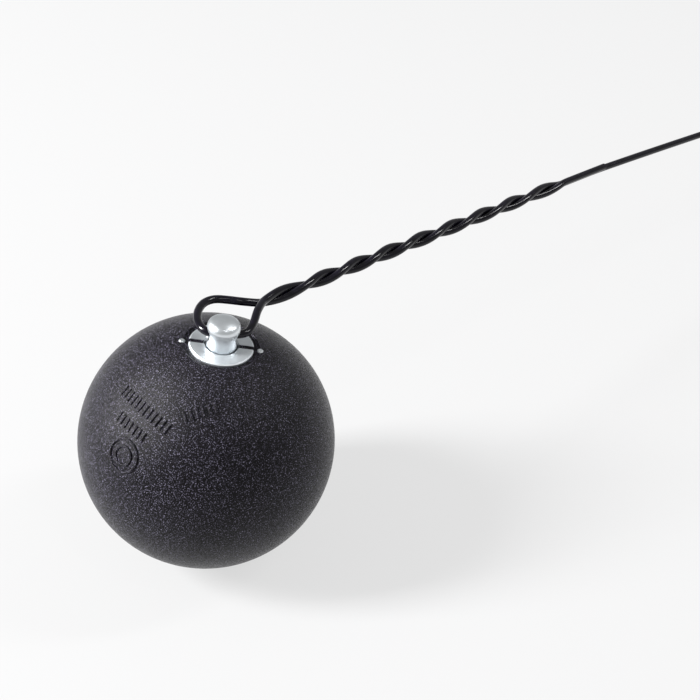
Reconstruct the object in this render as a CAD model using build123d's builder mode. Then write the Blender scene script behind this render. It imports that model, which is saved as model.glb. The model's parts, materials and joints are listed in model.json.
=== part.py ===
"""Throwing hammer: a ball with a bearing swivel, a twisted steel wire and a rigid handle.

Millimetres, +Z up. The hammer lies at rest: the ball and the grip stand on the floor at Z = 0,
and the wire runs along +X from the top of the ball down to the handle. The origin is the
middle of the underside of the whole object's box.
"""

import os
from math import asin, atan2, cos, degrees, pi, radians, sin, tan

from build123d import *

# ---------------------------------------------------------------- driving dimensions
# head
HEAD_RADIUS = 47.5
CORE_RADIUS = 37.5            # lead core: a ball, cut flat below the bearing
CORE_TOP = 8.0                # heights inside the head run along the swivel axis from its centre
PLUG_RADIUS = 7.5
PLUG_TOP = -38.0
PLUG_SOCKET_RADIUS = 4.0
PLUG_SOCKET_DEPTH = 4.5
BORE_CHAMFER = 0.6

# swivel axis and the eye through it
SWIVEL_TILT = 10.4            # degrees from vertical
SWIVEL_AZIMUTH = -52.5        # direction of the lean, degrees from +X
EYE_AZIMUTH = -31.1           # direction of the wire's hole
EYE_HEIGHT = 50.7
EYE_RADIUS = 2.3
EYE_FLARE = 0.9               # how much the hole opens at each mouth
EYE_FLARE_DEPTH = 1.6

# spindle
STEM_RADIUS = 5.5
DOME_RADIUS = 5.95            # the domed top overhangs the stem
DOME_BOTTOM = 52.95
DOME_BAND = 0.65              # height of the straight band below the dome's shoulder
DOME_SHOULDER = 2.9           # radius of the shoulder, below the flatter crown
DOME_RISE = 3.55              # from the top of the band to the top of the crown
SHANK_RADIUS = 3.98
SHANK_BOTTOM = 25.4

# housing and the slotted ring that closes it
HOUSING_RADIUS = 13.0
HOUSING_BOTTOM = 22.0
HOUSING_TOP = 45.0
CHAMBER_RADIUS = 9.0
CHAMBER_BOTTOM = 24.0
SEAT_BOTTOM = 34.4
RING_RADIUS = 11.5
RING_TOP = 46.1
RING_HOLE_RADIUS = 5.85
RING_RELIEF_RADIUS = 6.3      # the ring's hole is wider next to the inner race
RING_RELIEF_HEIGHT = 0.6
RING_CHAMFER = 0.4
SLOT_WIDTH = 1.9
SLOT_DEPTH = 2.6
SLOT_TURN = -6.5              # degrees from the eye's direction
PIN_RADIUS = 1.1
PIN_CIRCLE = 13.8
PIN_BOTTOM = 38.0
PIN_TOP = 45.6
PIN_CHAMFER = 0.3

# ball bearing, 8 x 22 x 7
BEARING_TOP = 41.9
BEARING_WIDTH = 7.0
RACE_BORE = 4.0
RACE_OUTER = 11.0
INNER_SHOULDER = 6.05
OUTER_SHOULDER = 9.0
PITCH_RADIUS = 7.5
BALL_RADIUS = 1.984
BALL_COUNT = 7
BALL_CLEARANCE = 0.045
CAGE_INNER = 6.5
CAGE_OUTER = 8.5
CAGE_HEIGHT = 4.9
SHIELD_INNER = 6.3
SHIELD_OUTER = 9.4
SHIELD_THICKNESS = 0.4
SHIELD_INSET = 0.3

# washers and nut
PRELOAD_WASHER_RADII = (8.8, 10.8)
THRUST_WASHER_RADII = (4.1, 7.0)
THRUST_WASHER_THICKNESS = 1.6
NUT_ACROSS_FLATS = 13.0
NUT_HEIGHT = 6.0
NUT_COLLAR_RADII = (5.4, 6.3)
NUT_COLLAR_HEIGHT = 1.5
NUT_BORE = 4.0
INSERT_HEIGHT = 1.2

# wire
WIRE_RADIUS = 1.5
STRAND_OFFSET = 1.53          # each strand of a twist from the twist's axis
HALF_PITCH = 18.9             # twist length for half a turn
HALF_TURNS = 9
TAIL_LENGTH = 26.0            # straight cut end past the twist
WIRE_SLOPE = 5.28             # degrees below level
WIRE_KINK = 3.6               # degrees that the wire turns at the end of the near twist
RUN_OUT = 5.0                 # half the bend from the end of a twist to a straight run
# the near loop's corners from the middle of the eye: across, along and above its plane
LOOP_LEFT = ((-8.6, 0.0, 0.0), (-8.6, 19.3, -0.8))
LOOP_LEFT_RUN = 4.7
LOOP_LEFT_RADII = (4.0, 8.0, 12.0)
LOOP_RIGHT = ((9.0, 0.0, 0.0),)
LOOP_RIGHT_RUN = 5.5
LOOP_RIGHT_RADII = (4.0, 10.0)
LOOP_CROSSING = (15.1, 20.35)
# the far loop
BIGHT_RADIUS = 7.0
BIGHT_HEIGHT = BIGHT_RADIUS + WIRE_RADIUS + 0.05

# handle
BOW_RADIUS = 3.0
BOW_PLAY = 0.3                # between the bow and the inside of the wire's far loop
BOW_HALF_ANGLE = 29.0
BOW_APEX_RADIUS = 11.0
BOW_CORNER_RADIUS = 9.0
BOW_LENGTH = 108.0            # pivot to the grip's axis
BOW_END_DEPTH = 22.0          # how far each end runs into the grip
GRIP_RADIUS = 8.0
GRIP_WALL = 1.5
RIVET_RADIUS = 1.5
RIVET_LENGTH = 15.6
RIVET_INSET = 11.0

# ---------------------------------------------------------------- directions and places
twist_length = HALF_TURNS * HALF_PITCH
helix_angle = degrees(atan2(pi * STRAND_OFFSET, HALF_PITCH))
up = Vector(0, 0, 1)

swivel_axis = up.rotate(Axis.Y, SWIVEL_TILT).rotate(Axis.Z, SWIVEL_AZIMUTH)
eye_heading = Vector(1, 0, 0).rotate(Axis.Z, EYE_AZIMUTH)
eye_axis = up.cross(eye_heading).cross(swivel_axis).normalized()
wire_axis = Vector(1, 0, 0).rotate(Axis.Y, WIRE_SLOPE)
twist_axis = wire_axis.rotate(Axis.Z, WIRE_KINK)
loop_normal = eye_axis.cross(twist_axis).normalized()
loop_along = loop_normal.cross(eye_axis)

# places from the head's centre
eye_place = swivel_axis * EYE_HEIGHT
crossing_place = eye_place + eye_axis * LOOP_CROSSING[0] + loop_along * LOOP_CROSSING[1]
kink_place = crossing_place + twist_axis * twist_length
bight_reach = BIGHT_RADIUS / sin(radians(helix_angle))
fall = HEAD_RADIUS + kink_place.Z - BIGHT_HEIGHT
straight_length = fall / sin(radians(WIRE_SLOPE)) - twist_length - bight_reach
far_crossing_place = kink_place + wire_axis * (straight_length + twist_length)
bight_place = far_crossing_place + wire_axis * bight_reach
pivot_offset = BIGHT_RADIUS - WIRE_RADIUS - BOW_RADIUS - BOW_PLAY
pivot_place = bight_place + wire_axis * pivot_offset

# the head's centre, so that the origin is the middle of the underside
far_end = pivot_place.X + BOW_LENGTH + GRIP_RADIUS
head_centre = Vector((HEAD_RADIUS - far_end) / 2, -kink_place.Y, HEAD_RADIUS)

eye = head_centre + eye_place
crossing = head_centre + crossing_place
far_crossing = head_centre + far_crossing_place
pivot = head_centre + pivot_place

swivel_plane = Plane(origin=head_centre, x_dir=eye_axis, z_dir=swivel_axis)
section_plane = Plane(origin=head_centre, x_dir=eye_axis, z_dir=eye_axis.cross(swivel_axis))
eye_plane = Plane(origin=eye, x_dir=eye_axis, z_dir=eye_axis.cross(swivel_axis))
loop_plane = Plane(origin=eye, x_dir=eye_axis, z_dir=loop_normal)
near_twist_plane = Plane(origin=crossing, x_dir=loop_normal, z_dir=twist_axis)
far_loop_plane = Plane(origin=far_crossing, x_dir=wire_axis, z_dir=Vector(0, -1, 0))
far_twist_plane = Plane(origin=far_crossing, x_dir=Vector(0, -1, 0), z_dir=-wire_axis)
spin_axis = Axis(head_centre, swivel_axis)

bearing_middle = BEARING_TOP - BEARING_WIDTH / 2
bearing_bottom = BEARING_TOP - BEARING_WIDTH
nut_top = bearing_bottom - THRUST_WASHER_THICKNESS
collar_top = nut_top - NUT_HEIGHT
grip_drop = asin((pivot.Z - GRIP_RADIUS) / BOW_LENGTH)
grip_heading = Vector(cos(grip_drop), 0, -sin(grip_drop))
handle_plane = Plane(origin=pivot, x_dir=grip_heading, z_dir=Vector(0, -1, 0).cross(grip_heading))


# ---------------------------------------------------------------- shared shapes
def ring(inner, outer, low, high):
    """A plain ring on the swivel axis, between two heights."""
    with BuildPart() as part:
        with BuildSketch(swivel_plane.offset(low)):
            Circle(outer)
            Circle(inner, mode=Mode.SUBTRACT)
        extrude(amount=high - low)
    return part.part


def disc(radius, low, high):
    """A plain round bar on the swivel axis, between two heights."""
    with BuildPart() as part:
        with BuildSketch(swivel_plane.offset(low)):
            Circle(radius)
        extrude(amount=high - low)
    return part.part


def bent_bar(plane, points, radii, radius):
    """A round bar along straight runs joined by tangent arcs, its points given on a plane."""
    with BuildPart() as part:
        with BuildLine(plane) as path:
            FilletPolyline(*points, radius=radii)
        with BuildSketch(Plane(origin=path.line @ 0, z_dir=path.line % 0)):
            Circle(radius)
        sweep(path=path.line)
    return part.part


# ---------------------------------------------------------------- head
with BuildPart() as ballast_core:
    with Locations(swivel_plane):
        Sphere(CORE_RADIUS)
    split(bisect_by=swivel_plane.offset(CORE_TOP), keep=Keep.BOTTOM)
ballast_core.part.label = "ballast_core"

with BuildPart() as housing_lock_pins:
    with BuildSketch(swivel_plane.offset(PIN_BOTTOM)):
        with PolarLocations(PIN_CIRCLE, 2, start_angle=SLOT_TURN):
            Circle(PIN_RADIUS)
    extrude(amount=PIN_TOP - PIN_BOTTOM)
    pin_holes = housing_lock_pins.part
    chamfer(housing_lock_pins.edges().group_by(spin_axis)[-1], PIN_CHAMFER)
housing_lock_pins.part.label = "housing_lock_pins"

with BuildPart() as head_body:
    with Locations(swivel_plane):
        Sphere(HEAD_RADIUS)
    add(disc(HOUSING_RADIUS, HOUSING_BOTTOM, HEAD_RADIUS), mode=Mode.SUBTRACT)
    mouth = head_body.edges().sort_by(spin_axis)[-1]
    chamfer(mouth, BORE_CHAMFER)
    add(disc(PLUG_RADIUS, -HEAD_RADIUS, CORE_TOP), mode=Mode.SUBTRACT)
    add(ballast_core.part, mode=Mode.SUBTRACT)
    add(pin_holes, mode=Mode.SUBTRACT)
head_body.part.label = "head_body"

with BuildPart() as filler_plug:
    with Locations(swivel_plane):
        Sphere(HEAD_RADIUS)
    add(disc(PLUG_RADIUS, -HEAD_RADIUS, PLUG_TOP), mode=Mode.INTERSECT)
    with BuildSketch(swivel_plane.offset(-HEAD_RADIUS)):
        RegularPolygon(PLUG_SOCKET_RADIUS, 6)
    extrude(amount=PLUG_SOCKET_DEPTH, mode=Mode.SUBTRACT)
filler_plug.part.label = "filler_plug"

# ---------------------------------------------------------------- bearing housing and its ring
with BuildPart() as bearing_housing:
    add(disc(HOUSING_RADIUS, HOUSING_BOTTOM, HOUSING_TOP))
    add(disc(CHAMBER_RADIUS, CHAMBER_BOTTOM, SEAT_BOTTOM), mode=Mode.SUBTRACT)
    add(disc(RACE_OUTER, SEAT_BOTTOM, BEARING_TOP), mode=Mode.SUBTRACT)
    add(disc(RING_RADIUS, BEARING_TOP, HOUSING_TOP), mode=Mode.SUBTRACT)
    add(pin_holes, mode=Mode.SUBTRACT)
bearing_housing.part.label = "bearing_housing"

with BuildPart() as retaining_ring:
    add(ring(RING_HOLE_RADIUS, RING_RADIUS, BEARING_TOP, RING_TOP))
    relief_top = BEARING_TOP + RING_RELIEF_HEIGHT
    add(disc(RING_RELIEF_RADIUS, BEARING_TOP, relief_top), mode=Mode.SUBTRACT)
    chamfer(retaining_ring.edges().group_by(spin_axis)[-1], RING_CHAMFER)
    with BuildSketch(swivel_plane.offset(RING_TOP)):
        Rectangle(2 * HEAD_RADIUS, SLOT_WIDTH, rotation=SLOT_TURN)
    extrude(amount=-SLOT_DEPTH, mode=Mode.SUBTRACT)
retaining_ring.part.label = "retaining_ring"

preload_washer = ring(*PRELOAD_WASHER_RADII, SEAT_BOTTOM, bearing_bottom)
preload_washer.label = "preload_washer"

# ---------------------------------------------------------------- ball bearing
with BuildPart() as bearing_outer_race:
    with BuildSketch(section_plane):
        with Locations(((OUTER_SHOULDER + RACE_OUTER) / 2, bearing_middle)):
            Rectangle(RACE_OUTER - OUTER_SHOULDER, BEARING_WIDTH)
        with Locations((PITCH_RADIUS, bearing_middle)):
            Circle(BALL_RADIUS + BALL_CLEARANCE, mode=Mode.SUBTRACT)
    revolve(axis=spin_axis)
    shield_depth = SHIELD_INSET + SHIELD_THICKNESS
    add(disc(SHIELD_OUTER, BEARING_TOP - shield_depth, BEARING_TOP), mode=Mode.SUBTRACT)
    add(disc(SHIELD_OUTER, bearing_bottom, bearing_bottom + shield_depth), mode=Mode.SUBTRACT)
bearing_outer_race.part.label = "bearing_outer_race"

with BuildPart() as bearing_inner_race:
    with BuildSketch(section_plane):
        with Locations(((RACE_BORE + INNER_SHOULDER) / 2, bearing_middle)):
            Rectangle(INNER_SHOULDER - RACE_BORE, BEARING_WIDTH)
        with Locations((PITCH_RADIUS, bearing_middle)):
            Circle(BALL_RADIUS + BALL_CLEARANCE, mode=Mode.SUBTRACT)
    revolve(axis=spin_axis)
bearing_inner_race.part.label = "bearing_inner_race"

with BuildPart() as bearing_balls:
    with Locations(swivel_plane.offset(bearing_middle)):
        with PolarLocations(PITCH_RADIUS, BALL_COUNT):
            Sphere(BALL_RADIUS)
bearing_balls.part.label = "bearing_balls"

with BuildPart() as bearing_cage:
    cage_bottom = bearing_middle - CAGE_HEIGHT / 2
    add(ring(CAGE_INNER, CAGE_OUTER, cage_bottom, cage_bottom + CAGE_HEIGHT))
    with Locations(swivel_plane.offset(bearing_middle)):
        with PolarLocations(PITCH_RADIUS, BALL_COUNT):
            Cylinder(
                BALL_RADIUS + BALL_CLEARANCE,
                CAGE_OUTER - CAGE_INNER + 2,
                rotation=(0, 90, 0),
                mode=Mode.SUBTRACT,
            )
bearing_cage.part.label = "bearing_cage"

with BuildPart() as bearing_shields:
    for low in (bearing_bottom + SHIELD_INSET, BEARING_TOP - SHIELD_INSET - SHIELD_THICKNESS):
        add(ring(SHIELD_INNER, SHIELD_OUTER, low, low + SHIELD_THICKNESS))
bearing_shields.part.label = "bearing_shields"

# ---------------------------------------------------------------- swivel spindle and its nut
# the crown's arc meets the shoulder's arc without a corner
band_top = DOME_BOTTOM + DOME_BAND
shoulder_inset = DOME_RADIUS - DOME_SHOULDER
crown_gap = DOME_RISE - DOME_SHOULDER
crown_depth = (shoulder_inset**2 - crown_gap**2) / (2 * crown_gap)
crown_radius = crown_depth + DOME_RISE
shoulder_turn = degrees(atan2(crown_depth, shoulder_inset))

with BuildPart() as swivel_spindle:
    with BuildSketch(section_plane):
        with BuildLine():
            Polyline(
                (0, band_top + DOME_RISE),
                (0, SHANK_BOTTOM),
                (SHANK_RADIUS, SHANK_BOTTOM),
                (SHANK_RADIUS, BEARING_TOP),
                (STEM_RADIUS, BEARING_TOP),
                (STEM_RADIUS, DOME_BOTTOM + STEM_RADIUS - DOME_RADIUS),
                (DOME_RADIUS, DOME_BOTTOM),
                (DOME_RADIUS, band_top),
            )
            CenterArc((shoulder_inset, band_top), DOME_SHOULDER, 0, shoulder_turn)
            CenterArc((0, band_top - crown_depth), crown_radius, shoulder_turn, 90 - shoulder_turn)
        make_face()
    revolve(axis=spin_axis)
    with BuildSketch(eye_plane):
        with BuildLine():
            Polyline(
                (-STEM_RADIUS - EYE_FLARE_DEPTH, 0),
                (-STEM_RADIUS - EYE_FLARE_DEPTH, EYE_RADIUS + 2 * EYE_FLARE),
                (-STEM_RADIUS + EYE_FLARE_DEPTH, EYE_RADIUS),
                (STEM_RADIUS - EYE_FLARE_DEPTH, EYE_RADIUS),
                (STEM_RADIUS + EYE_FLARE_DEPTH, EYE_RADIUS + 2 * EYE_FLARE),
                (STEM_RADIUS + EYE_FLARE_DEPTH, 0),
                close=True,
            )
        make_face()
    revolve(axis=Axis(eye, eye_axis), mode=Mode.SUBTRACT)
swivel_spindle.part.label = "swivel_spindle"

thrust_washer = ring(*THRUST_WASHER_RADII, nut_top, bearing_bottom)
thrust_washer.label = "thrust_washer"

with BuildPart() as lock_nut:
    with BuildSketch(swivel_plane.offset(collar_top)):
        RegularPolygon(NUT_ACROSS_FLATS / 2, 6, major_radius=False)
        Circle(NUT_BORE, mode=Mode.SUBTRACT)
    extrude(amount=NUT_HEIGHT)
    add(ring(*NUT_COLLAR_RADII, collar_top - NUT_COLLAR_HEIGHT, collar_top))
lock_nut.part.label = "lock_nut"

nut_insert = ring(NUT_BORE, NUT_COLLAR_RADII[0], collar_top - INSERT_HEIGHT, collar_top)
nut_insert.label = "nut_insert"

# ---------------------------------------------------------------- wire
def helix_strand(plane, turn):
    """One strand of a twist, starting on the plane's X axis turned by some degrees."""
    strand = Helix(2 * HALF_PITCH, twist_length, STRAND_OFFSET, lefthand=True)
    return plane.location * Rotation(0, 0, turn) * strand


def corner_before_crossing(run, turn, offset):
    """The corner from which a straight run meets a strand of the near twist head-on."""
    heading = radians(twist_heading + turn)
    return (across - run * cos(heading), along - run * sin(heading), offset)


def on_plane(plane, points):
    """Points given on a plane, as places in the hammer's own frame."""
    return [plane.from_local_coords(Vector(point)) for point in points]


def run_out(strand):
    """The corner past a strand's end, where it turns straight."""
    return strand @ 1 + (strand % 1) * RUN_OUT


def bend_straight(strand, heading):
    """An arc from a strand's end, where it leaves the twist, to a straight run."""
    return TangentArc(strand @ 1, run_out(strand) + heading * RUN_OUT, tangent=strand % 1)


across, along = LOOP_CROSSING
twist_heading = eye_axis.get_angle(twist_axis)
near_left = [
    (0, 0, 0),
    *LOOP_LEFT,
    corner_before_crossing(LOOP_LEFT_RUN, -helix_angle, -STRAND_OFFSET),
    (across, along, -STRAND_OFFSET),
]
near_right = [
    (0, 0, 0),
    *LOOP_RIGHT,
    corner_before_crossing(LOOP_RIGHT_RUN, helix_angle, STRAND_OFFSET),
    (across, along, STRAND_OFFSET),
]
bight_end = bight_reach + BIGHT_RADIUS
bight_rise = bight_end * tan(radians(helix_angle))
far_loop = [
    (0, 0, STRAND_OFFSET),
    (bight_end, bight_rise, 0),
    (bight_end, -bight_rise, 0),
    (0, 0, -STRAND_OFFSET),
]
far_loop_radius = BIGHT_RADIUS - 0.1

near_tail_strand = helix_strand(near_twist_plane, 180)
near_main_strand = helix_strand(near_twist_plane, 0)
far_main_strand = helix_strand(far_twist_plane, 0)
far_tail_strand = helix_strand(far_twist_plane, 180)
main_heading = (run_out(far_main_strand) - run_out(near_main_strand)).normalized()

with BuildLine() as wire_path:
    near_tail = bend_straight(near_tail_strand, twist_axis)
    near_tail_end = near_tail @ 1 + twist_axis * TAIL_LENGTH
    Line(near_tail_end, near_tail @ 1)
    add(near_tail_strand)
    FilletPolyline(*on_plane(loop_plane, near_left), radius=LOOP_LEFT_RADII)
    FilletPolyline(*on_plane(loop_plane, near_right), radius=LOOP_RIGHT_RADII)
    add(near_main_strand)
    near_bend = bend_straight(near_main_strand, main_heading)
    far_bend = bend_straight(far_main_strand, -main_heading)
    Line(near_bend @ 1, far_bend @ 1)
    add(far_main_strand)
    FilletPolyline(*on_plane(far_loop_plane, far_loop), radius=far_loop_radius)
    add(far_tail_strand)
    far_tail = bend_straight(far_tail_strand, -wire_axis)
    Line(far_tail @ 1, far_tail @ 1 - wire_axis * TAIL_LENGTH)

with BuildPart() as connecting_wire:
    with BuildSketch(Plane(origin=near_tail_end, z_dir=-twist_axis)):
        Circle(WIRE_RADIUS)
    sweep(path=wire_path.wire())
connecting_wire.part.label = "connecting_wire"

# ---------------------------------------------------------------- handle
apex_corner = BOW_APEX_RADIUS * (1 / sin(radians(BOW_HALF_ANGLE)) - 1)
bow_half_width = (BOW_LENGTH + apex_corner) * tan(radians(BOW_HALF_ANGLE))
corner_run = BOW_CORNER_RADIUS * tan(radians((90 + BOW_HALF_ANGLE) / 2))
grip_half_length = bow_half_width - corner_run
bow_end = grip_half_length - BOW_END_DEPTH
bow_points = [
    (BOW_LENGTH, -bow_end),
    (BOW_LENGTH, -bow_half_width),
    (-apex_corner, 0),
    (BOW_LENGTH, bow_half_width),
    (BOW_LENGTH, bow_end),
]
bow_radii = (BOW_CORNER_RADIUS, BOW_APEX_RADIUS, BOW_CORNER_RADIUS)
grip_centre = pivot + grip_heading * BOW_LENGTH
grip_plane = Plane(origin=grip_centre, x_dir=grip_heading, z_dir=Vector(0, 1, 0))
rivet_plane = Plane(origin=grip_centre, x_dir=grip_heading, z_dir=handle_plane.z_dir)

with BuildPart() as grip_rivets:
    with BuildSketch(rivet_plane.offset(-RIVET_LENGTH / 2)):
        with GridLocations(0, 2 * (grip_half_length - RIVET_INSET), 1, 2):
            Circle(RIVET_RADIUS)
    extrude(amount=RIVET_LENGTH)
grip_rivets.part.label = "grip_rivets"

with BuildPart() as handle_bow:
    add(bent_bar(handle_plane, bow_points, bow_radii, BOW_RADIUS))
    add(grip_rivets.part, mode=Mode.SUBTRACT)
handle_bow.part.label = "handle_bow"

with BuildPart() as grip_tube:
    with BuildSketch(grip_plane.offset(-grip_half_length)):
        Circle(GRIP_RADIUS)
        Circle(GRIP_RADIUS - GRIP_WALL, mode=Mode.SUBTRACT)
    extrude(amount=2 * grip_half_length)
    add(grip_rivets.part, mode=Mode.SUBTRACT)
grip_tube.part.label = "grip_tube"

with BuildPart() as grip_bushes:
    for low in (-grip_half_length, bow_end):
        with BuildSketch(grip_plane.offset(low)):
            Circle(GRIP_RADIUS - GRIP_WALL)
            Circle(BOW_RADIUS, mode=Mode.SUBTRACT)
        extrude(amount=BOW_END_DEPTH)
    add(grip_rivets.part, mode=Mode.SUBTRACT)
grip_bushes.part.label = "grip_bushes"

# ---------------------------------------------------------------- files
pieces = [
    head_body.part,
    ballast_core.part,
    filler_plug.part,
    bearing_housing.part,
    housing_lock_pins.part,
    retaining_ring.part,
    preload_washer,
    bearing_outer_race.part,
    bearing_inner_race.part,
    bearing_balls.part,
    bearing_cage.part,
    bearing_shields.part,
    swivel_spindle.part,
    thrust_washer,
    lock_nut.part,
    nut_insert,
    connecting_wire.part,
    handle_bow.part,
    grip_tube.part,
    grip_bushes.part,
    grip_rivets.part,
]
os.makedirs("parts", exist_ok=True)
for piece in pieces:
    export_step(piece, f"parts/{piece.label}.step")

reach = HEAD_RADIUS + EYE_HEIGHT + (pivot - eye).length + BOW_LENGTH - GRIP_RADIUS
print(f"straight run {straight_length:.1f} mm, grip inside to far side of the ball {reach:.1f} mm")
print("eye", eye, "eye axis", eye_axis)
print("swivel axis", swivel_axis, "pivot", pivot)
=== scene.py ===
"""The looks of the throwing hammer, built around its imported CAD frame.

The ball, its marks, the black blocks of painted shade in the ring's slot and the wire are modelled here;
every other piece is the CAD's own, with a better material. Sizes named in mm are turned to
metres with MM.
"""

import json
import math

import bmesh
import bpy
from mathutils import Matrix, Vector
from mathutils.geometry import interpolate_bezier


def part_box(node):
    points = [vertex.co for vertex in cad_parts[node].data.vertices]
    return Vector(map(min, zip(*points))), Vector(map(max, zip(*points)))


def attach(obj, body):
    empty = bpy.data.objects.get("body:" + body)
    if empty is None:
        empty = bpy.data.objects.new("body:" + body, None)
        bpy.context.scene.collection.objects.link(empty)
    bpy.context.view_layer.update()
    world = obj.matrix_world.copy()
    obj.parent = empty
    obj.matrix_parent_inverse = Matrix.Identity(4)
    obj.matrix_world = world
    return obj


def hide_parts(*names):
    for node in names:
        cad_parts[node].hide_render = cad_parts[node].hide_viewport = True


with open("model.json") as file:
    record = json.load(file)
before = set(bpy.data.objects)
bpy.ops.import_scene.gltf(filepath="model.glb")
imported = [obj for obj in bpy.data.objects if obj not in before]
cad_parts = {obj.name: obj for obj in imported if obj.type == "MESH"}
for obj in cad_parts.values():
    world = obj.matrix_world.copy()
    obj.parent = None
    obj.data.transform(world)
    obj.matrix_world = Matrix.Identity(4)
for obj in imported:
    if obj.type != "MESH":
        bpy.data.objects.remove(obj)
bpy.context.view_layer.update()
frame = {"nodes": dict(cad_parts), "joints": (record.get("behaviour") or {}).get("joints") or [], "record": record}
MM = 0.001

# ---------------------------------------------------------------- places, from the frame
joints = {joint["name"]: joint for joint in frame["joints"]}
swivel_axis = Vector(joints["swivel_spin"]["axis"]).normalized()
eye = Vector(joints["wire_swing"]["pos_m"])
eye_axis = Vector(joints["wire_swing"]["axis"]).normalized()
pivot = Vector(joints["handle_swing"]["pos_m"])
head_low, head_high = (Vector(corner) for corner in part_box("head_body"))
HEAD_RADIUS = (head_high.x - head_low.x) / 2
head_centre = (head_low + head_high) / 2
head_centre.z = HEAD_RADIUS

WIRE_RADIUS = 1.5 * MM
WIRE_SLOPE = math.radians(5.28)
WIRE_KINK = math.radians(3.6)
TWIST_LIFT = math.radians(0.62)
RUN_LIFT = math.radians(1.4)
wire_axis = Vector((math.cos(WIRE_SLOPE), 0, -math.sin(WIRE_SLOPE)))
level_twist_axis = Matrix.Rotation(WIRE_KINK, 3, "Z") @ wire_axis
wire_left = Vector((0, 0, 1)).cross(level_twist_axis).normalized()
# the real wire springs up a little from the CAD's line: along the twist, and again past it
twist_axis = Matrix.Rotation(-TWIST_LIFT, 3, wire_left) @ level_twist_axis
run_axis = Matrix.Rotation(-RUN_LIFT, 3, wire_left) @ wire_axis
loop_normal = eye_axis.cross(twist_axis).normalized()
loop_along = loop_normal.cross(eye_axis)
twist_side = loop_normal.cross(twist_axis)


# ---------------------------------------------------------------- mesh tools
SHARP_ANGLE = math.radians(32)      # edges sharper than this are shaded as edges


def new_object(name, mesh):
    piece = bpy.data.objects.new(name, mesh)
    bpy.context.scene.collection.objects.link(piece)
    return piece


def mesh_object(name, verts, faces, smooth=True):
    mesh = bpy.data.meshes.new(name)
    mesh.from_pydata([tuple(v) for v in verts], [], faces)
    mesh.validate()
    mesh.update()
    if smooth:
        mesh.shade_smooth()
        mesh.set_sharp_from_angle(angle=SHARP_ANGLE)
    return new_object(name, mesh)


def face_outwards(piece):
    """Turns every face of a closed mesh to look outwards."""
    work = bmesh.new()
    work.from_mesh(piece.data)
    bmesh.ops.recalc_face_normals(work, faces=work.faces)
    work.to_mesh(piece.data)
    work.free()
    piece.data.set_sharp_from_angle(angle=SHARP_ANGLE)


def tube(name, points, radius, sides, bevel):
    """A round bar along a list of points, carried along without twist, its ends bevelled."""
    count = len(points)
    tangents = [
        (points[min(i + 1, count - 1)] - points[max(i - 1, 0)]).normalized() for i in range(count)
    ]
    normal = tangents[0].orthogonal().normalized()
    verts, faces = [], []

    def ring(centre, tangent, size):
        side = tangent.cross(normal)
        for k in range(sides):
            angle = 2 * math.pi * k / sides
            verts.append(centre + (normal * math.cos(angle) + side * math.sin(angle)) * size)

    ring(points[0], tangents[0], radius - bevel)
    for i in range(count):
        normal = (normal - tangents[i] * normal.dot(tangents[i])).normalized()
        centre = points[i]
        if i == 0:
            centre = centre + tangents[0] * bevel
        if i == count - 1:
            centre = centre - tangents[-1] * bevel
        ring(centre, tangents[i], radius)
    ring(points[-1], tangents[-1], radius - bevel)
    rings = count + 2
    for i in range(rings - 1):
        for k in range(sides):
            a = i * sides + k
            b = i * sides + (k + 1) % sides
            faces.append((a, b, b + sides, a + sides))
    faces.append(tuple(reversed(range(sides))))
    faces.append(tuple(range((rings - 1) * sides, rings * sides)))
    return mesh_object(name, verts, faces)


STEPS_PER_SPAN = 14


def through(points):
    """A smooth line through given points: Catmull-Rom, then evened out."""
    ends = [points[0] * 2 - points[1]] + list(points) + [points[-1] * 2 - points[-2]]
    line = []
    for a, b, c, d in zip(ends, ends[1:], ends[2:], ends[3:]):
        for k in range(STEPS_PER_SPAN):
            t = k / STEPS_PER_SPAN
            line.append(
                (
                    b * 2 + (c - a) * t + (a * 2 - b * 5 + c * 4 - d) * t**2
                    + (b * 3 - a - c * 3 + d) * t**3
                ) / 2
            )
    line.append(points[-1].copy())
    return evened(line, 6)


def evened(line, rounds):
    """The line with each point drawn towards its neighbours, some rounds over; its ends stay."""
    for _ in range(rounds):
        line = (
            [line[0]]
            + [(a + b * 2 + c) / 4 for a, b, c in zip(line, line[1:], line[2:])]
            + [line[-1]]
        )
    return line


def apply_modifiers(piece):
    """Bakes an object's modifiers into its mesh."""
    depsgraph = bpy.context.evaluated_depsgraph_get()
    mesh = bpy.data.meshes.new_from_object(piece.evaluated_get(depsgraph))
    piece.modifiers.clear()
    piece.data = mesh


def lathe(name, profile, origin, axis, sides):
    """A turned solid: (radius, height) points in mm round an axis, from its bottom to its top."""
    side = axis.orthogonal().normalized()
    front = axis.cross(side)
    verts, faces, rows = [], [], []
    for radius, height in profile:
        middle = origin + axis * (height * MM)
        if radius == 0:
            rows.append([len(verts)])
            verts.append(middle)
            continue
        rows.append(list(range(len(verts), len(verts) + sides)))
        for k in range(sides):
            angle = 2 * math.pi * k / sides
            out = side * math.cos(angle) + front * math.sin(angle)
            verts.append(middle + out * (radius * MM))
    for low, high in zip(rows, rows[1:]):
        for k in range(sides):
            n = (k + 1) % sides
            if len(low) == 1:
                faces.append((low[0], high[n], high[k]))
            elif len(high) == 1:
                faces.append((low[k], low[n], high[0]))
            else:
                faces.append((low[k], low[n], high[n], high[k]))
    piece = mesh_object(name, verts, faces)
    face_outwards(piece)
    return piece


def cut(piece, tool):
    """Takes a tool's shape out of a piece."""
    modifier = piece.modifiers.new("cut", "BOOLEAN")
    modifier.operation = "DIFFERENCE"
    modifier.solver = "EXACT"
    modifier.object = tool
    apply_modifiers(piece)
    bpy.data.objects.remove(tool)


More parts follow.
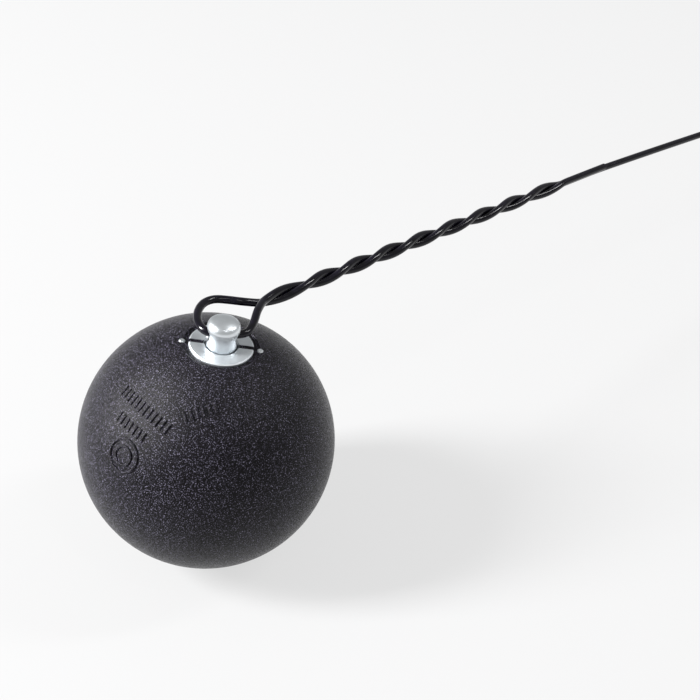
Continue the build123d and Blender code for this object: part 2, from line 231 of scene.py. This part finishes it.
# ---------------------------------------------------------------- head
BORE_RADIUS = 13.0
BORE_BOTTOM = 22.0
BORE_CHAMFER = 0.6
CORE_RADIUS = 37.5
CORE_TOP = 8.0
PLUG_RADIUS = 7.5
PIN_RADIUS = 1.1
PIN_CIRCLE = 13.8
PIN_BOTTOM = 38.0
PIN_HOLE_TOP = 50.0
SLOT_TURN = math.radians(-6.5)      # the slot and its two pins, from the eye's direction
slot_way = eye_axis * math.cos(SLOT_TURN) + swivel_axis.cross(eye_axis) * math.sin(SLOT_TURN)


def arc_profile(radius, start_radius, start_sign, end_radius, end_sign, count):
    """Points of a circle about the head's centre, between two distances from the swivel axis.

    Each sign says whether that end lies above or below the centre.
    """
    first = math.atan2(start_sign * math.sqrt(radius**2 - start_radius**2), start_radius)
    last = math.atan2(end_sign * math.sqrt(radius**2 - end_radius**2), end_radius)
    angles = [first + (last - first) * k / count for k in range(count + 1)]
    return [(radius * math.cos(angle), radius * math.sin(angle)) for angle in angles]


def head_piece():
    """The ball: its cavity for the core, its plug hole, its powder-coated outside and its bore."""
    radius = HEAD_RADIUS / MM
    core_edge = math.sqrt(CORE_RADIUS**2 - CORE_TOP**2)
    mouth = math.sqrt(radius**2 - BORE_RADIUS**2)
    profile = [(0, CORE_TOP), (core_edge, CORE_TOP)]
    profile += arc_profile(CORE_RADIUS, core_edge, 1, PLUG_RADIUS, -1, 60)[1:]
    profile += arc_profile(radius, PLUG_RADIUS, -1, BORE_RADIUS + BORE_CHAMFER, 1, 180)
    profile += [(BORE_RADIUS, mouth - BORE_CHAMFER), (BORE_RADIUS, BORE_BOTTOM), (0, BORE_BOTTOM)]
    piece = lathe("head", profile, head_centre, swivel_axis, sides=288)
    hole = [
        (0, PIN_BOTTOM), (PIN_RADIUS, PIN_BOTTOM), (PIN_RADIUS, PIN_HOLE_TOP), (0, PIN_HOLE_TOP),
    ]
    for side in (-1, 1):
        place = head_centre + slot_way * (side * PIN_CIRCLE * MM)
        cut(piece, lathe("pin_hole", hole, place, swivel_axis, sides=32))
    piece.data.set_sharp_from_angle(angle=SHARP_ANGLE)
    return piece


# black blocks of painted shade in the two ends of the ring's slot, which make the slot look dark, in mm
RING_TOP = 46.1
SLOT_WIDTH = 1.9
SLOT_DEPTH = 2.6
SHADE_BLOCK_REACH = (6.4, 11.45)          # from the swivel axis
SHADE_BLOCK_SINK = 0.18                   # below the ring's face, at the slot's walls
SHADE_BLOCK_DISH = 0.25                   # and this much more at the middle
SHADE_BLOCK_SIDE_GAP = 0.01
SHADE_BLOCK_FLOOR_GAP = 0.02
SHADE_BLOCK_STEPS = 12


def painted_shade_block(name, side):
    """A dark strip of painted shade that fills one end of the slot, its top dished between the slot's walls."""
    across = swivel_axis.cross(slot_way)
    half = SLOT_WIDTH / 2 - SHADE_BLOCK_SIDE_GAP
    low = RING_TOP - SLOT_DEPTH + SHADE_BLOCK_FLOOR_GAP
    section = [(-half, low)]
    for k in range(9):
        place = k / 4 - 1
        section.append((place * half, RING_TOP - SHADE_BLOCK_SINK - SHADE_BLOCK_DISH * (1 - place**2)))
    section.append((half, low))
    verts, faces = [], []
    for i in range(SHADE_BLOCK_STEPS + 1):
        reach = SHADE_BLOCK_REACH[0] + (SHADE_BLOCK_REACH[1] - SHADE_BLOCK_REACH[0]) * i / SHADE_BLOCK_STEPS
        for shift, height in section:
            place = slot_way * (side * reach) + across * shift + swivel_axis * height
            verts.append(head_centre + place * MM)
    size = len(section)
    for i in range(SHADE_BLOCK_STEPS):
        for k in range(size):
            a, b = i * size + k, i * size + (k + 1) % size
            faces.append((a, b, b + size, a + size))
    faces.append(tuple(range(size)))
    faces.append(tuple(reversed(range(SHADE_BLOCK_STEPS * size, (SHADE_BLOCK_STEPS + 1) * size))))
    piece = mesh_object(name, verts, faces)
    face_outwards(piece)
    return piece


# the moulded marks: a plain ring and rows of short bars, where such a ball carries its marking
MARK_AZIMUTH = math.radians(198.5)
MARK_ELEVATION = math.radians(33.5)
MARK_TURN = math.radians(-17)
MARK_HEIGHT = 0.5 * MM
MARK_WIDTH = 1.15 * MM
MARK_SINK = 0.25 * MM               # how deep a mark's foot stands in the ball
BAR_SPACING = 2.15
# rows of bars in mm: first bar's place, the row's heading, how many bars and their length
BAR_ROWS = (
    ((-15.7, 11.9), 0.02, 12, 4.0),
    ((-10.1, 4.4), 0.02, 7, 3.6),
    ((10.0, 19.3), math.radians(58), 6, 3.8),
)
RING_MARK_PLACE = (-0.1, -5.3)
RING_MARK_RADII = (3.3, 5.9)
RING_MARK_WIDTH = 0.9 * MARK_WIDTH
RING_MARK_STEPS = 72


class OnBall:
    """Places on the ball's skin, given in mm along and across the rows of marks."""

    def __init__(self, azimuth, elevation, turn):
        level = math.cos(elevation)
        self.out = Vector(
            (level * math.cos(azimuth), level * math.sin(azimuth), math.sin(elevation))
        )
        side = Vector((0, 0, 1)).cross(self.out).normalized()
        self.along = Matrix.Rotation(turn, 3, self.out) @ side
        self.across = self.out.cross(self.along)

    def at(self, along, across, lift):
        reach = math.hypot(along, across)
        angle = reach * MM / HEAD_RADIUS
        flat = (self.along * along + self.across * across) / max(reach, 1e-9)
        way = self.out * math.cos(angle) + flat * math.sin(angle)
        return head_centre + way * (HEAD_RADIUS + lift)


ball_skin = OnBall(MARK_AZIMUTH, MARK_ELEVATION, MARK_TURN)


def raised_line(path, width, closed):
    """A raised line on the ball's skin: a low rounded ridge along a path, its foot in the ball."""
    right_half = [
        (0.4, MARK_HEIGHT), (0.72, MARK_HEIGHT * 0.8), (1.0, MARK_HEIGHT * 0.1), (1.0, -MARK_SINK),
    ]
    section = [(-side, lift) for side, lift in reversed(right_half)] + right_half
    verts, faces = [], []
    count, size = len(path), len(section)
    for i, (x, y) in enumerate(path):
        before = path[i - 1] if i or closed else path[0]
        after = path[(i + 1) % count] if i < count - 1 or closed else path[-1]
        dx, dy = after[0] - before[0], after[1] - before[1]
        length = math.hypot(dx, dy)
        for side, lift in section:
            shift = side * width / MM / 2
            verts.append(ball_skin.at(x - dy / length * shift, y + dx / length * shift, lift))
    for i in range(count if closed else count - 1):
        for k in range(size):
            a, b = i * size + k, i * size + (k + 1) % size
            c, d = (b + size) % (count * size), (a + size) % (count * size)
            faces.append((a, b, c, d))
    if not closed:
        faces.append(tuple(range(size)))
        faces.append(tuple(reversed(range((count - 1) * size, count * size))))
    return verts, faces


def bar_row(start, heading, count, length):
    """A row of bars that stand square to the row."""
    way = (math.cos(heading), math.sin(heading))
    stroke = (math.cos(heading + math.pi / 2), math.sin(heading + math.pi / 2))
    bars = []
    for i in range(count):
        x, y = (start[axis] + way[axis] * BAR_SPACING * i for axis in (0, 1))
        path = [
            (x + stroke[0] * length * t / 8, y + stroke[1] * length * t / 8) for t in range(-4, 5)
        ]
        bars.append(raised_line(path, MARK_WIDTH, False))
    return bars


def ring_mark(radius):
    turns = [2 * math.pi * k / RING_MARK_STEPS for k in range(RING_MARK_STEPS)]
    x, y = RING_MARK_PLACE
    path = [(radius * math.cos(turn) + x, radius * math.sin(turn) + y) for turn in turns]
    return raised_line(path, RING_MARK_WIDTH, True)


def marks_piece():
    lines = [bar for row in BAR_ROWS for bar in bar_row(*row)]
    lines += [ring_mark(radius) for radius in RING_MARK_RADII]
    verts, faces = [], []
    for line_verts, line_faces in lines:
        offset = len(verts)
        verts += line_verts
        faces += [tuple(index + offset for index in face) for face in line_faces]
    piece = mesh_object("head_marks", verts, faces)
    face_outwards(piece)
    return piece


# ---------------------------------------------------------------- wire
STRAND_OFFSET = 1.52 * MM           # each strand of a twist from the twist's axis
STRAND_STEP = 1.1 * MM
HALF_PITCH = 18.5 * MM              # far twist, for half a turn
NEAR_HALF_PITCHES = (22, 17.5, 17, 17.5, 18, 18, 18.5, 19, 22.5)
HALF_TURNS = len(NEAR_HALF_PITCHES)
TWIST_PHASE = math.radians(-38.0)
NEAR_RUN_OUT = 26.0 * MM            # how far the long strand goes on straight past its twist
FAR_RUN_OUT = 6.0 * MM
NEAR_TAIL_LENGTH = 29.5 * MM        # the cut end past the twist
FAR_TAIL_LENGTH = 24.0 * MM
WIRE_SIDES = 24
WIRE_BEVEL = 0.3 * MM
LOOP_TRIM = 14                      # points of a smooth loop that the twist takes over
CROSSING = (15.1, 20.35, -1.0)
# the near loop and its crossing, in mm: across, along and above its plane, from the eye's middle
LOOP_LEFT = (
    (0, 0, 0), (-4.4, 0.1, 0), (-7.4, 2.6, -0.1), (-8.7, 7.2, -0.3), (-8.2, 12.5, -0.5),
    (-6.0, 17.3, -0.8), (-2.2, 20.0, -1.0), (2.6, 20.3, -1.1), (8.0, 20.0, -1.2),
)
LOOP_RIGHT = (
    (0, 0, 0), (4.8, 0.1, 0), (8.7, 1.6, 0.1), (11.1, 6.6, 0.4), (12.9, 13.0, 0.9),
)


def on_loop(point):
    across, along, above = (value * MM for value in point)
    return eye + eye_axis * across + loop_along * along + loop_normal * above


crossing = on_loop(CROSSING)


def half_turns_at(reach):
    """How many half turns a strand has made, a distance along the near twist."""
    turned = 0.0
    for half_pitch in NEAR_HALF_PITCHES:
        step = min(reach / (half_pitch * MM), 1)
        turned += max(step, 0)
        reach -= half_pitch * MM
    return turned


def near_strand(turn, length):
    """A strand of the near twist from the crossing, and the straight run past it."""
    line = []
    for i in range(int(length / STRAND_STEP) + 1):
        reach = i * STRAND_STEP
        angle = TWIST_PHASE + turn + math.pi * half_turns_at(reach)
        out = loop_normal * math.cos(angle) + twist_side * math.sin(angle)
        line.append(crossing + twist_axis * reach + out * STRAND_OFFSET)
    return line


twist_length = sum(NEAR_HALF_PITCHES) * MM
near_main = near_strand(0, twist_length + NEAR_RUN_OUT)
near_tail = near_strand(math.pi, twist_length + NEAR_TAIL_LENGTH)

FAR_LOOP_REACH = 28.4 * MM
BIGHT_RADIUS = 7.0 * MM
PIVOT_OFFSET = 2.2 * MM
far_crossing = pivot - wire_axis * (PIVOT_OFFSET + FAR_LOOP_REACH)
bight = pivot - wire_axis * PIVOT_OFFSET
far_side = Vector((0, -1, 0))
far_up = (-wire_axis).cross(far_side)


def far_strand(turn, length):
    """A strand of the far twist from its crossing, back towards the head."""
    line = []
    for i in range(int(length / STRAND_STEP) + 1):
        reach = i * STRAND_STEP
        half_turns = min(reach / HALF_PITCH, HALF_TURNS)
        angle = turn - math.pi * half_turns
        out = far_side * math.cos(angle) + far_up * math.sin(angle)
        line.append(far_crossing - wire_axis * reach + out * STRAND_OFFSET)
    return line


def far_loop():
    """The loop round the bow: two straight sides and the bight between them."""
    lean = math.asin(BIGHT_RADIUS / FAR_LOOP_REACH)
    line = []
    for i in range(41):
        angle = math.pi / 2 + lean - i * (math.pi + 2 * lean) / 40
        line.append(bight + (wire_axis * math.cos(angle) + far_up * math.sin(angle)) * BIGHT_RADIUS)
    start = far_crossing + far_side * STRAND_OFFSET
    end = far_crossing - far_side * STRAND_OFFSET
    out = [start.lerp(line[0], i / 20) for i in range(1, 20)]
    back = [line[-1].lerp(end, i / 20) for i in range(1, 20)]
    return out + line + back


far_main = far_strand(0, HALF_TURNS * HALF_PITCH + FAR_RUN_OUT)
far_tail = far_strand(math.pi, HALF_TURNS * HALF_PITCH + FAR_TAIL_LENGTH)


def straight_run():
    """The long stretch between the twists, which leaves each along that twist's own heading."""
    start, end = near_main[-1], far_main[-1]
    pull = (end - start).length / 3
    handles = (start, start + run_axis * pull, end - wire_axis * pull, end)
    return interpolate_bezier(*handles, 81)[1:-1]


def half_loop(points, strand):
    """The loop from the eye to where one strand of the twist begins."""
    route = [on_loop(point) for point in points] + [strand[0], strand[3]]
    return through(route)[:-LOOP_TRIM]


def wire_line():
    """The whole wire, from its cut end at the near twist to its cut end at the far one."""
    left = half_loop(LOOP_LEFT, near_tail)
    loop = list(reversed(left[1:])) + half_loop(LOOP_RIGHT, near_main)
    line = (
        list(reversed(near_tail[1:])) + loop + near_main[1:] + straight_run()
        + list(reversed(far_main)) + far_loop() + far_tail
    )
    return evened(line, 4)


# ---------------------------------------------------------------- materials
def material(name):
    """A new material, with its node tree and its shader."""
    made = bpy.data.materials.new(name)
    made.use_nodes = True
    nodes = made.node_tree.nodes
    shader = nodes["Principled BSDF"]
    return made, made.node_tree, shader


def link(tree, a, b):
    tree.links.new(a, b)


def node(tree, kind, **values):
    """A new node, its inputs set by name."""
    made = tree.nodes.new(kind)
    for key, value in values.items():
        made.inputs[key].default_value = value
    return made


def noise(tree, coords, scale, detail=3.0, roughness=0.5):
    made = node(tree, "ShaderNodeTexNoise", Scale=scale, Detail=detail, Roughness=roughness)
    link(tree, coords, made.inputs["Vector"])
    return made.outputs["Fac"]


def ramp(tree, value, *stops):
    """A colour ramp: each stop is a place and a colour."""
    made = node(tree, "ShaderNodeValToRGB")
    link(tree, value, made.inputs["Fac"])
    elements = made.color_ramp.elements
    while len(elements) < len(stops):
        elements.new(0.5)
    for element, (place, colour) in zip(elements, stops):
        element.position = place
        element.color = (*colour, 1.0)
    return made.outputs["Color"]


def grey(level):
    return (level, level, level)


def bump(tree, height, strength, distance, shader):
    made = node(tree, "ShaderNodeBump", Strength=strength, Distance=distance)
    link(tree, height, made.inputs["Height"])
    link(tree, made.outputs["Normal"], shader.inputs["Normal"])


def coords_of(tree):
    return tree.nodes.new("ShaderNodeTexCoord").outputs["Object"]


def powder_coat():
    """Black powder coat: fine grains with a blue-grey sparkle on their tips."""
    made, tree, shader = material("powder_coat")
    coords = coords_of(tree)
    grain = noise(tree, coords, 2400, detail=3, roughness=0.6)
    colour = ramp(
        tree, grain, (0.4, (0.001, 0.0008, 0.0012)), (0.56, (0.004, 0.0034, 0.005)),
        (0.69, (0.17, 0.16, 0.22)),
    )
    link(tree, colour, shader.inputs["Base Color"])
    link(tree, ramp(tree, grain, (0.38, grey(0.42)), (0.62, grey(0.2))), shader.inputs["Roughness"])
    shader.inputs["Specular IOR Level"].default_value = 0.12
    bump(tree, grain, 0.6, 0.0004, shader)
    return made


def zinc(name="zinc_plate", colour=(0.75, 0.79, 0.82), roughness=0.31):
    """Bright zinc plate on turned steel."""
    made, tree, shader = material(name)
    coords = coords_of(tree)
    cloud = noise(tree, coords, 420, detail=3)
    tone = ramp(tree, cloud, (0.3, tuple(c * 0.93 for c in colour)), (0.75, colour))
    link(tree, tone, shader.inputs["Base Color"])
    shader.inputs["Metallic"].default_value = 1.0
    fine = noise(tree, coords, 1800, detail=2)
    link(
        tree, ramp(tree, fine, (0.3, grey(roughness - 0.03)), (0.7, grey(roughness + 0.05))),
        shader.inputs["Roughness"],
    )
    bump(tree, fine, 0.03, 0.00005, shader)
    return made


def black_wire():
    """Glossy black coating on spring wire, with the marks of the twisting tool."""
    made, tree, shader = material("black_wire")
    coords = coords_of(tree)
    streak = noise(tree, coords, 420, detail=3)
    link(
        tree, ramp(tree, streak, (0.3, (0.001, 0.0008, 0.002)), (0.75, (0.004, 0.003, 0.008))),
        shader.inputs["Base Color"],
    )
    link(tree, ramp(tree, streak, (0.35, grey(0.12)), (0.8, grey(0.24))), shader.inputs["Roughness"])
    shader.inputs["Specular IOR Level"].default_value = 0.28
    bump(tree, streak, 0.12, 0.0002, shader)
    return made


def turned(name, colour, roughness):
    """Turned and brushed metal: fine lines round an axis that lies along the model's Y."""
    made, tree, shader = material(name)
    stretch = node(tree, "ShaderNodeMapping", Scale=(40, 5200, 40))
    link(tree, coords_of(tree), stretch.inputs["Vector"])
    lines = noise(tree, stretch.outputs["Vector"], 1, detail=4, roughness=0.6)
    tone = ramp(tree, lines, (0.3, tuple(c * 0.82 for c in colour)), (0.7, colour))
    link(tree, tone, shader.inputs["Base Color"])
    shader.inputs["Metallic"].default_value = 1.0
    link(
        tree, ramp(tree, lines, (0.3, grey(roughness + 0.1)), (0.7, grey(roughness - 0.05))),
        shader.inputs["Roughness"],
    )
    bump(tree, lines, 0.35, 0.00008, shader)
    return made


def plain(name, colour, metallic, roughness, depth=0.1):
    """An unplated metal or a plastic, with a fine grain in its tone, gloss and surface."""
    made, tree, shader = material(name)
    fine = noise(tree, coords_of(tree), 700, detail=3)
    tone = ramp(tree, fine, (0.3, tuple(c * 0.8 for c in colour)), (0.7, colour))
    link(tree, tone, shader.inputs["Base Color"])
    shader.inputs["Metallic"].default_value = metallic
    link(
        tree, ramp(tree, fine, (0.3, grey(roughness * 0.8)), (0.7, grey(min(1, roughness * 1.2)))),
        shader.inputs["Roughness"],
    )
    bump(tree, fine, depth, 0.0001, shader)
    return made


# ---------------------------------------------------------------- stage
FLOOR_RADIUS = 40.0
FLOOR_SIDES = 96


def floor():
    """A pale round floor, partly self-lit, so that its shadows stay faint."""
    turns = [2 * math.pi * k / FLOOR_SIDES for k in range(FLOOR_SIDES)]
    corners = [(FLOOR_RADIUS * math.cos(turn), FLOOR_RADIUS * math.sin(turn), 0) for turn in turns]
    stage = mesh_object("floor", corners, [tuple(range(FLOOR_SIDES))], smooth=False)
    made, _, shader = material("floor")
    shader.inputs["Base Color"].default_value = (0.11, 0.11, 0.111, 1)
    shader.inputs["Emission Color"].default_value = (1, 1, 1, 1)
    shader.inputs["Emission Strength"].default_value = 0.667
    shader.inputs["Roughness"].default_value = 0.8
    shader.inputs["Specular IOR Level"].default_value = 0.2
    stage.data.materials.append(made)


CAMERA_TURN = math.radians(38.7)    # from +X round to the camera's right, clockwise from above
CAMERA_RISE = math.radians(36.06)
CAMERA_DISTANCE = 10.0 * HEAD_RADIUS
LENS = 65.5
SENSOR = 36.0
# how far the ball's middle lies from the picture's, in picture widths
BALL_RIGHT = -0.2036
BALL_UP = -0.1279

right = Vector((math.cos(CAMERA_TURN), -math.sin(CAMERA_TURN), 0))
away = Vector((math.sin(CAMERA_TURN), math.cos(CAMERA_TURN), 0))
up = Vector((0, 0, 1))


def camera():
    back = -away * math.cos(CAMERA_RISE) + up * math.sin(CAMERA_RISE)
    image_up = back.cross(right)
    spread = SENSOR / LENS * CAMERA_DISTANCE
    made = bpy.data.objects.new("camera", bpy.data.cameras.new("camera"))
    bpy.context.scene.collection.objects.link(made)
    made.data.lens = LENS
    made.data.sensor_width = SENSOR
    made.data.clip_start = 0.01
    place = head_centre + back * CAMERA_DISTANCE
    place -= right * BALL_RIGHT * spread + image_up * BALL_UP * spread
    turn = Matrix((right, image_up, back)).transposed().to_4x4()
    made.matrix_world = Matrix.Translation(place) @ turn
    bpy.context.scene.camera = made


def area_light(name, direction, distance, size, power):
    """A soft light that looks at the ball from a direction: right, away and up."""
    sideways, inwards, high = direction
    aim = (right * sideways + away * inwards + up * high).normalized()
    lamp = bpy.data.lights.new(name, "AREA")
    lamp.shape = "RECTANGLE"
    lamp.size, lamp.size_y = size
    lamp.energy = power
    made = bpy.data.objects.new(name, lamp)
    bpy.context.scene.collection.objects.link(made)
    place = head_centre + aim * distance
    made.matrix_world = Matrix.Translation(place) @ aim.to_track_quat("Z", "Y").to_matrix().to_4x4()


# each light: its name, its direction, its distance, its width and height, and its power
LIGHTS = (
    ("key", (-1.355, -0.222, 1.0), 2.2, (0.45, 0.9), 145),
    ("fill", (0.42, -0.50, 0.9), 2.2, (0.1, 0.9), 3),
    ("right", (0.70, 0.10, 0.71), 2.2, (0.2, 0.9), 17),
    ("top", (-0.9, -0.2, 1.0), 2.6, (2.2, 2.2), 5),
)


def lights():
    for light in LIGHTS:
        area_light(*light)
    world = bpy.data.worlds.new("studio")
    bpy.context.scene.world = world
    world.use_nodes = True
    world.node_tree.nodes["Background"].inputs["Color"].default_value = (1, 1, 1, 1)
    world.node_tree.nodes["Background"].inputs["Strength"].default_value = 0.42
    bpy.context.scene.view_settings.view_transform = "Standard"


# ---------------------------------------------------------------- pieces
camera()
lights()
floor()

SLOT_MATERIALS = {
    "powder_coat": powder_coat(),
    "lead": plain("lead", (0.28, 0.29, 0.31), 0.9, 0.6),
    "plain_steel": plain("plain_steel", (0.5, 0.5, 0.52), 1.0, 0.35),
    "zinc_plate": zinc(),
    "bearing_steel": plain("bearing_steel", (0.75, 0.76, 0.78), 1.0, 0.12, depth=0.03),
    "pressed_steel": plain("pressed_steel", (0.6, 0.6, 0.61), 1.0, 0.3),
    "nylon": plain("nylon", (0.8, 0.81, 0.77), 0.0, 0.5),
    "black_wire": black_wire(),
    "bow_steel": zinc("bow_steel", (0.6, 0.62, 0.66), 0.3),
    "grip_aluminium": turned("grip_aluminium", (0.74, 0.75, 0.77), 0.34),
    "bush_aluminium": plain("bush_aluminium", (0.68, 0.68, 0.7), 1.0, 0.35),
}


def finish_piece(piece, body, slot, *nodes):
    """Gives a piece its material, its body and the CAD nodes that it stands for."""
    piece.data.materials.append(SLOT_MATERIALS[slot])
    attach(piece, body)
    if nodes:
        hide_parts(*nodes)


finish_piece(head_piece(), "head", "powder_coat", "head_body")
finish_piece(marks_piece(), "head", "powder_coat")
# the two black blocks are painted shade, put in the slot's ends to darken them
for name, side in (("painted_shade_block_left", -1), ("painted_shade_block_right", 1)):
    finish_piece(painted_shade_block(name, side), "head", "powder_coat")
wire = tube("wire", wire_line(), WIRE_RADIUS, WIRE_SIDES, WIRE_BEVEL)
finish_piece(wire, "wire", "black_wire", "connecting_wire")

# the ring's flat face is satin, where the turned spindle is bright
NODE_MATERIALS = {"retaining_ring": zinc("zinc_satin", roughness=0.5)}
for subpart in frame["record"]["subparts"]:
    piece = frame["nodes"][subpart["node"]]
    slot_material = SLOT_MATERIALS[subpart["material_slot"]]
    piece.data.materials.clear()
    piece.data.materials.append(NODE_MATERIALS.get(subpart["node"], slot_material))
